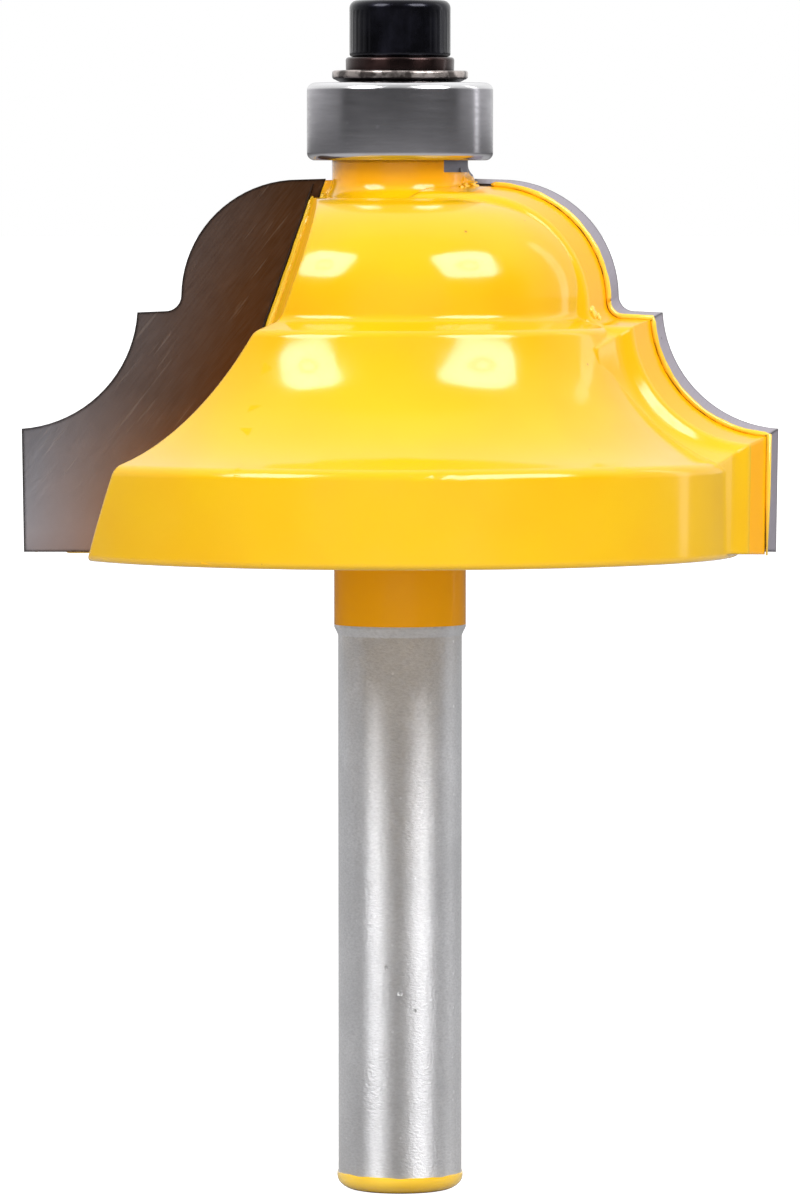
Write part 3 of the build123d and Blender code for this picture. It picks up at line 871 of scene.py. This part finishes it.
# ------------------------------------------------------------------ the pieces
class ROUTERBIT_OT_body(bpy.types.Operator):
    """Coat the body between the tips, with rounded edges and a few lumps at the nose"""

    bl_idname = "routerbit.body"
    bl_label = "Enamelled Body"

    def execute(self, context):
        settings = context.scene.routerbit_enamel
        tone, deep, shaded = settings.tone, settings.deep_tone, settings.painted_shade_tone
        soft = settings.softness
        yellow = make_enamel(settings, "yellow_enamel", tone, deep, softness=soft)
        # Painted shade: the wing lands take the shaded copy of the enamel, with little coat and
        # shine.
        land = make_enamel(settings, "wing_enamel", shaded, shaded, 0.05, 0.15, soft)
        # Painted highlight: the lips, beads, runs and lumps take the paler lit copy of the enamel.
        built_up_and_lit = make_enamel(settings, "lit_lip_enamel", settings.lit_lip_tone, tone, 0.7)
        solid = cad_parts["cutter_body"].data
        centres = np.empty(len(solid.polygons) * 3)
        solid.polygons.foreach_get("center", centres)
        centres = centres.reshape(-1, 3) / MM
        kept = np.flatnonzero(centres[:, 2] > settings.line_height)
        centres = centres[kept]
        coat = part_of_mesh(solid, "enamelled_body", kept)
        for material in (yellow, make_bare_patch(), make_gullet_coat(settings), land):
            coat.materials.append(material)
        finish = bare_places(centres).astype(np.int32)
        finish[on_gullet_floor(centres)] = 2
        # Painted shade: the wing lands and the lower neck get the shaded enamel.
        finish[on_wing_land(centres) | (centres[:, 2] < NECK_TOP - 0.2)] = 3
        coat.polygons.foreach_set("material_index", finish)
        piece = adopt("enamelled_body", coat, BIT)
        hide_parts("cutter_body")
        lip = [
            (across - LIP_SHIFT * LIP_DEPTH, -LIP_DEPTH, up - LIP_DROP * LIP_DEPTH)
            for across, up in cutting_profile()
        ]
        bead = shifted(root_line(0.35, -0.9), -0.07)
        for number, side in SIDES:
            lines = [
                (f"enamel_lip_{number}", lip, settings.lip),
                (f"gullet_bead_{number}", bead, settings.bead),
            ]
            for run, (depth, radius, start, end) in enumerate(PAINT_RUNS, 1):
                sweep = depth * tan(FLOOR_SWEEP)
                line = [(across - sweep, depth, up) for across, _, up in root_line(start, end)]
                lines.append((f"paint_run_{number}_{run}", line, radius))
            for name, line, radius in lines:
                add_bead(name, line, radius, side, BIT, built_up_and_lit)
        add_lumps("paint_lumps", coat, PAINT_LUMPS, BIT, built_up_and_lit)
        return {"FINISHED"}


class ROUTERBIT_OT_shank(bpy.types.Operator):
    """Turn the ground shank and its painted end"""

    bl_idname = "routerbit.shank"
    bl_label = "Shank"

    def execute(self, context):
        steel = context.scene.routerbit_steel
        enamel = context.scene.routerbit_enamel
        material = make_ground_steel(
            "ground_shank", steel.shank_tone, steel.roughness, 2.0, 5200.0, 1.0, 0.00003
        )
        radius, neck, curve = SHANK_RADIUS, NECK_RADIUS, SHANK_RADIUS - END_FLAT
        line, low = enamel.line_height, 0.02
        outline = [(END_FLAT, low)]
        for turn in quarter()[1:]:
            height = END_HEIGHT - (END_HEIGHT - low) * cos(turn)
            outline.append((END_FLAT + curve * sin(turn), height))
        outline += [(radius, height) for height in np.linspace(1.0, line - 0.6, 24)]
        step_up = [
            (radius, line - 0.55, 0),
            (radius, line - 0.45, 0.08),
            (neck, line - 0.02, 0.05),
            (neck, line + 0.1, 0),
        ]
        outline += rounded(step_up, closed=False)
        outline.append((neck - 0.1, line + 0.1))
        piece = turned("ground_shank", outline, BIT, "painted_steel", material, closed=False)
        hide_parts("cutter_body")

        # Painted highlight: the painted end takes the paler lit copy of the enamel.
        paint = bpy.data.materials["lit_lip_enamel"]
        thick, end = enamel.thickness, enamel.end_line
        rings = [(END_FLAT - 0.2, 0.0)]
        for turn in quarter():
            height = END_HEIGHT - END_HEIGHT * cos(turn)
            rings.append((END_FLAT + curve * sin(turn) + thick, height))
        rings += [
            (radius + thick, end - 0.1),
            (radius + thick * 0.8, end - 0.03),
            (radius - 0.02, end),
        ]
        cap = turned("painted_end", rings, BIT, "painted_steel", paint, closed=False)
        # The coat's upper edge runs unevenly round the shank.
        for vertex in cap.data.vertices:
            around = atan2(vertex.co.y, vertex.co.x)
            near_edge = max(0.0, vertex.co.z / MM - 0.6) / 0.33
            wave = 0.03 * sin(2 * around + 1.0) + 0.018 * sin(9 * around)
            wave += 0.012 * sin(17 * around)
            vertex.co.z += near_edge * wave * MM
        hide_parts("cutter_body")
        return {"FINISHED"}


class ROUTERBIT_OT_tips(bpy.types.Operator):
    """Finish the carbide tips and run the braze along them"""

    bl_idname = "routerbit.tips"
    bl_label = "Carbide Tips"

    def execute(self, context):
        settings = context.scene.routerbit_carbide
        carbide = make_carbide(settings)
        braze = make_braze(settings)
        # Painted shade: the near-black braze fillet along each tip's inner edge draws the shade
        # along that joint as well as the braze.
        line = shifted(root_line(0.3, -0.25), 0.13)
        for number, side in SIDES:
            dress_node(f"carbide_tip_{number}", carbide)
            dress_node(f"braze_seam_{number}", braze)
            name = f"braze_fillet_{number}"
            add_bead(name, line, settings.fillet, side, BIT, braze)
        return {"FINISHED"}


class ROUTERBIT_OT_bearing(bpy.types.Operator):
    """Turn the guide bearing's rings and shields, and finish what they hide"""

    bl_idname = "routerbit.bearing"
    bl_label = "Guide Bearing"

    def execute(self, context):
        steel = context.scene.routerbit_steel
        # The last argument paints a highlight on the rings' rounded corners.
        ring_steel = make_ground_steel(
            "bearing_steel", steel.bearing_tone, 0.2, 9.0, 420.0, 0.0, 0.0000012, 0.0, 0.9
        )
        sheet = make_ground_steel(
            "shield_steel", (0.42, 0.42, 0.44), 0.32, 1.0, 900.0, 0.0, 0.000004, 0.00006
        )
        round_over, edge = 0.48, steel.edge_radius
        bore, seat, depth = 3.75, 3.95, 0.45
        outer = rounded(
            [
                (seat, RING_LOW, edge),
                (RING_RADIUS, RING_LOW, round_over),
                (RING_RADIUS, RING_TOP, round_over),
                (seat, RING_TOP, edge),
                (seat, RING_TOP - depth, 0.03),
                (bore, RING_TOP - depth, 0.03),
                (bore, RING_LOW + depth, 0.03),
                (seat, RING_LOW + depth, 0.03),
            ],
            facets=9,
        )
        piece = turned("outer_race", outer, RING, "bearing_steel", ring_steel, 256)
        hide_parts("bearing_outer_ring")
        inner_bore, inner = 1.5875, 2.6
        race = rounded(
            [
                (inner_bore, RING_LOW, 0.15),
                (inner, RING_LOW, 0.12),
                (inner, RING_TOP, 0.12),
                (inner_bore, RING_TOP, 0.15),
            ]
        )
        piece = turned("inner_race", race, BIT, "bearing_steel", ring_steel)
        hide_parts("bearing_inner_ring")
        for name, node, face, inward in (
            ("lower_shield", "bearing_lower_shield", RING_LOW, 1),
            ("upper_shield", "bearing_upper_shield", RING_TOP, -1),
        ):
            inside, outside = face + inward * 0.45, face + inward * 0.25
            step_in = face + inward * 0.33
            stamped = [
                (2.7, inside, 0.02),
                (seat - 0.01, inside, 0.02),
                (seat - 0.01, outside, 0.08),
                (3.55, outside, 0.1),
                (3.35, step_in, 0.1),
                (2.7, step_in, 0.03),
            ]
            if inward < 0:
                stamped.reverse()
            piece = turned(name, rounded(stamped[::-1]), RING, "shield_steel", sheet)
            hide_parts(node)
        for number in range(1, 8):
            dress_node(f"bearing_ball_{number}", ring_steel)
        dress_node("bearing_cage", sheet)
        return {"FINISHED"}


class ROUTERBIT_OT_screw(bpy.types.Operator):
    """Make the knurled cap screw, the spring washer and the dished dust washer"""

    bl_idname = "routerbit.screw"
    bl_label = "Screw and Washers"

    def execute(self, context):
        steel = context.scene.routerbit_steel
        black = make_black_oxide("black_oxide", steel.black_tone, (0.30, 0.29, 0.30), 0.35, 0.09)
        brown = make_black_oxide(
            "brown_oxide", (0.030, 0.016, 0.015), (0.45, 0.36, 0.33), 0.6, 0.12
        )
        rim = WASHER_RADIUS - 0.12
        rubbed = make_black_oxide(
            "rubbed_black", (0.02, 0.014, 0.013), (0.60, 0.53, 0.50), 0.5, 0.1, rim
        )
        self.screw(steel, black)
        self.spring_washer(steel, brown)
        self.dust_washer(rubbed)
        return {"FINISHED"}

    def screw(self, steel, material):
        """Cap screw with a knurled head and a hexagon socket."""
        seat, top, head = LOCK_TOP, SCREW_TOP, HEAD_RADIUS
        shaft, flats, socket, edge = 1.55, 1.19, 1.5, 0.4

        def knurled(depth):
            return lambda around: head - depth * (0.5 + 0.5 * cos(steel.knurls * around)) ** 2

        def hexagon(size):
            return lambda around: size / cos((around + pi / 6) % (pi / 3) - pi / 6)

        rings = [(shaft - 0.3, SCREW_LOW), (shaft, SCREW_LOW + 0.3), (shaft, seat)]
        rings += [(head - 0.2, seat), (head - 0.06, seat + 0.04), (head - 0.01, seat + 0.12)]
        rings += [(knurled(0.0), seat + 0.2), (knurled(steel.knurl_depth), seat + 0.27)]
        knurl_top = top - edge - 0.12
        for height in np.linspace(seat + 0.5, knurl_top - 0.1, 5):
            rings.append((knurled(steel.knurl_depth), height))
        rings.append((knurled(0.0), knurl_top))
        for turn in quarter():
            rings.append((head - edge + edge * cos(turn), top - edge + edge * sin(turn)))
        rings += [(1.7, top), (hexagon(flats + 0.12), top - 0.005), (hexagon(flats), top - 0.1)]
        rings += [(hexagon(flats), top - socket), (0.4, top - socket - 0.15)]
        segments = steel.knurls * 8
        slot = "blackened_steel"
        piece = turned("cap_screw_turned", rings, BIT, slot, material, segments, closed=False)
        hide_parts("cap_screw")

    def spring_washer(self, steel, material):
        """Split spring washer with a slanted cut and barely offset ends."""
        bore, outside = 1.6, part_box("lock_washer")[1][0] / MM
        split, turn, slant = 0.36, radians(62.0), radians(20.0)
        section = rounded(
            [
                (bore, LOCK_LOW, 0.08),
                (outside - 0.02, LOCK_LOW, 0.14),
                (outside, LOCK_TOP, 0.16),
                (bore, LOCK_TOP, 0.08),
            ]
        )
        steps, middle = 170, (LOCK_LOW + LOCK_TOP) / 2
        gap = split / outside
        verts, faces = [], []
        for step in range(steps + 1):
            around = turn + gap / 2 + (tau - gap) * (step / steps)
            for across, up in section:
                lean = tan(slant) * (up - middle) / outside
                spot = Vector((across * cos(around + lean), across * sin(around + lean), up))
                verts.append(spot * MM)
        sides = len(section)
        for step in range(steps):
            for side in range(sides):
                ahead = (side + 1) % sides
                row, above = step * sides, (step + 1) * sides
                faces.append((row + side, row + ahead, above + ahead, above + side))
        faces.append(tuple(range(sides)))
        faces.append(tuple(reversed(range(steps * sides, (steps + 1) * sides))))
        faces = [face[::-1] for face in faces]
        piece = add_piece("spring_washer", verts, faces, BIT, material)
        piece.data.set_sharp_from_angle(angle=SHARP)
        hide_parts("lock_washer")

    def dust_washer(self, material):
        """Dished washer that keeps dust off the bearing."""
        bore, seat, thick = 1.65, 3.0, 0.25
        outline = rounded(
            [
                (bore, WASHER_LOW, 0.03),
                (seat, WASHER_LOW, 0.25),
                (WASHER_RADIUS - 0.05, WASHER_LOW + 0.19, 0.04),
                (WASHER_RADIUS, WASHER_LOW + 0.27, 0.05),
                (WASHER_RADIUS, WASHER_TOP, 0.16),
                (WASHER_RADIUS - 0.25, WASHER_TOP, 0.06),
                (seat - 0.1, WASHER_LOW + thick, 0.2),
                (bore, WASHER_LOW + thick, 0.03),
            ]
        )
        piece = turned("dished_washer", outline, BIT, "blackened_steel", material)
        for vertex in piece.data.vertices:
            out = vertex.co.xy.length / MM
            around = atan2(vertex.co.y, vertex.co.x)
            vertex.co.z += max(0.0, out - seat) * 0.05 * sin(2 * around + 0.4) * MM
        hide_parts("dust_washer")


class ROUTERBIT_OT_studio(bpy.types.Operator):
    """Lay the floor and set up the softboxes, the room and the camera"""

    bl_idname = "routerbit.studio"
    bl_label = "Studio"

    def execute(self, context):
        settings = context.scene.routerbit_studio
        scene = context.scene
        scene.view_settings.view_transform = "Standard"
        self.floor(settings)
        self.room(scene)
        height, lift = settings.key_height, settings.key_lift
        left, right = (settings.left_width, height), (settings.right_width, height)
        strip = (settings.strip_width, 1.6 * height)
        self.softbox(context, settings, "softbox_left", -settings.left_turn, lift, left)
        self.softbox(context, settings, "softbox_right", settings.right_turn, lift, right)
        self.softbox(context, settings, "strip_right", settings.strip_turn, lift / 2, strip, 0.16)
        self.fill(context, settings)
        camera = bpy.data.cameras.new("camera")
        camera.sensor_fit = "AUTO"
        camera.sensor_width = 36.0
        eye = Vector((0.0, -settings.distance, settings.height)) * MM
        aim = Vector((0.0, 0.0, settings.aim)) * MM
        camera.lens = camera.sensor_width * (aim - eye).length / (settings.view_height * MM)
        camera.clip_start, camera.clip_end = 0.01, 20.0
        stand = bpy.data.objects.new("camera", camera)
        stand.location = eye
        stand.rotation_euler = (aim - eye).to_track_quat("-Z", "Y").to_euler()
        scene.collection.objects.link(stand)
        scene.camera = stand
        return {"FINISHED"}

    def floor(self, settings):
        """Wide pale floor."""
        bm = bmesh.new()
        bmesh.ops.create_circle(bm, cap_ends=True, segments=96, radius=6.0)
        mesh = bpy.data.meshes.new("floor")
        bm.to_mesh(mesh)
        bm.free()
        material, tree, shader, place = start_material(
            "pale_floor", roughness=0.9, specular_ior_level=0.1
        )
        away = put(tree, "ShaderNodeVectorMath", {0: place}, operation="LENGTH").outputs["Value"]
        tone = Vector(settings.floor_tone)
        # Painted pool of light: the floor is paler near the bit and half as pale further out, to
        # brighten the light bouncing onto the bit.
        shade = blend(tree, ramp(tree, away, 0.12, 0.4), tuple(tone), tuple(tone * 0.5))
        tree.links.new(shade, shader.inputs["Base Color"])
        seen = put(tree, "ShaderNodeLightPath").outputs["Is Camera Ray"]
        shader.inputs["Emission Color"].default_value = (1.0, 1.0, 1.0, 1.0)
        tree.links.new(product(tree, seen, 1.1), shader.inputs["Emission Strength"])
        mesh.materials.append(material)
        piece = bpy.data.objects.new("floor", mesh)
        bpy.context.scene.collection.objects.link(piece)

    def room(self, scene):
        """Pale room: white to the eye, and darker at the height of the horizon in reflections."""
        world = bpy.data.worlds.new("room")
        scene.world = world
        world.use_nodes = True
        tree = world.node_tree
        tree.nodes.clear()
        place = put(tree, "ShaderNodeTexCoord").outputs["Generated"]
        axes = axes_of(tree, place)
        front = ramp(tree, axes[1], -0.3, -0.12, 0.12, 0.42)
        behind = maths(tree, "ADD", front, ramp(tree, axes[1], -0.1, 0.9, 0.0, 0.45))
        bright = maths(tree, "ADD", behind, ramp(tree, axes[2], 0.3, 0.95, 0.0, 0.42))
        seen = put(tree, "ShaderNodeLightPath").outputs["Is Camera Ray"]
        strength = maths(tree, "MULTIPLY_ADD", maths(tree, "SUBTRACT", 1.0, bright), seen, bright)
        inputs = {"Color": (1.0, 1.0, 1.0, 1.0), "Strength": strength}
        background = put(tree, "ShaderNodeBackground", inputs)
        out = put(tree, "ShaderNodeOutputWorld")
        tree.links.new(background.outputs[0], out.inputs["Surface"])

    def softbox(self, context, settings, name, turn, lift, size, dimming=1.0):
        """One softbox with round corners and a soft rim, aimed at the body."""
        light = bpy.data.lights.new(name, "AREA")
        light.shape = "RECTANGLE"
        light.size, light.size_y = size[0] * MM, size[1] * MM
        light.energy = dimming * settings.key_radiance * light.size * light.size_y
        light.use_nodes = True
        tree = light.node_tree
        spread = put(tree, "ShaderNodeNewGeometry").outputs["Parametric"]
        axes = axes_of(tree, spread)
        across = maths(tree, "POWER", ramp(tree, axes[0], 0.0, 1.0, -1.0, 1.0), 4.0)
        up = maths(tree, "POWER", ramp(tree, axes[1], 0.0, 1.0, -1.0, 1.0), 4.0)
        mask = ramp(tree, maths(tree, "ADD", across, up), 1.0, 0.55)
        # The lamp's head stands in front of the cloth and leaves a faint ring.
        inputs = {0: spread, 1: (0.5, 0.45, 0.0)}
        middle = put(tree, "ShaderNodeVectorMath", inputs, operation="DISTANCE")
        ring = maths(tree, "SUBTRACT", middle.outputs["Value"], 0.13)
        ring = ramp(tree, maths(tree, "ABSOLUTE", ring), 0.02, 0.06, 0.5, 1.0)
        tree.links.new(product(tree, mask, ring), tree.nodes["Emission"].inputs["Strength"])
        aim = Vector((0.0, 0.0, 45.0)) * MM
        away = Vector((sin(turn) * cos(lift), -cos(turn) * cos(lift), sin(lift)))
        place = bpy.data.objects.new(name, light)
        place.location = aim + away * settings.key_distance * MM
        place.rotation_euler = (-away).to_track_quat("-Z", "Y").to_euler()
        context.scene.collection.objects.link(place)

    def fill(self, context, settings):
        """Broad fill from the camera's side that leaves no reflection."""
        light = bpy.data.lights.new("fill", "AREA")
        light.shape = "RECTANGLE"
        light.size, light.size_y = 0.8, 0.5
        light.energy = settings.fill_power
        place = bpy.data.objects.new("fill", light)
        place.location = (0.0, -0.7, 0.12)
        place.rotation_euler = Vector((0.0, 0.7, -0.09)).to_track_quat("-Z", "Y").to_euler()
        place.visible_glossy = False
        context.scene.collection.objects.link(place)


PIECES = ("body", "shank", "tips", "bearing", "screw", "studio")


class ROUTERBIT_PT_panel(bpy.types.Panel):
    """Settings and pieces of the router bit"""

    bl_idname = "ROUTERBIT_PT_panel"
    bl_label = "Router Bit"
    bl_space_type = "VIEW_3D"
    bl_region_type = "UI"
    bl_category = "Router Bit"

    def draw(self, context):
        for key in ("enamel", "carbide", "steel", "studio"):
            group = getattr(context.scene, f"routerbit_{key}")
            box = self.layout.box()
            box.label(text=key.title())
            for name in group.__annotations__:
                box.prop(group, name)
        for piece in PIECES:
            self.layout.operator(f"routerbit.{piece}")


GROUPS = {
    "enamel": EnamelSettings,
    "carbide": CarbideSettings,
    "steel": SteelSettings,
    "studio": StudioSettings,
}
CLASSES = (
    *GROUPS.values(),
    ROUTERBIT_OT_body,
    ROUTERBIT_OT_shank,
    ROUTERBIT_OT_tips,
    ROUTERBIT_OT_bearing,
    ROUTERBIT_OT_screw,
    ROUTERBIT_OT_studio,
    ROUTERBIT_PT_panel,
)


def register():
    for kind in CLASSES:
        bpy.utils.register_class(kind)
    for key, group in GROUPS.items():
        setattr(bpy.types.Scene, f"routerbit_{key}", bpy.props.PointerProperty(type=group))


def unregister():
    for key in GROUPS:
        delattr(bpy.types.Scene, f"routerbit_{key}")
    for kind in reversed(CLASSES):
        bpy.utils.unregister_class(kind)


def main():
    register()
    for piece in PIECES:
        getattr(bpy.ops.routerbit, piece)()


if __name__ == "__main__":
    main()
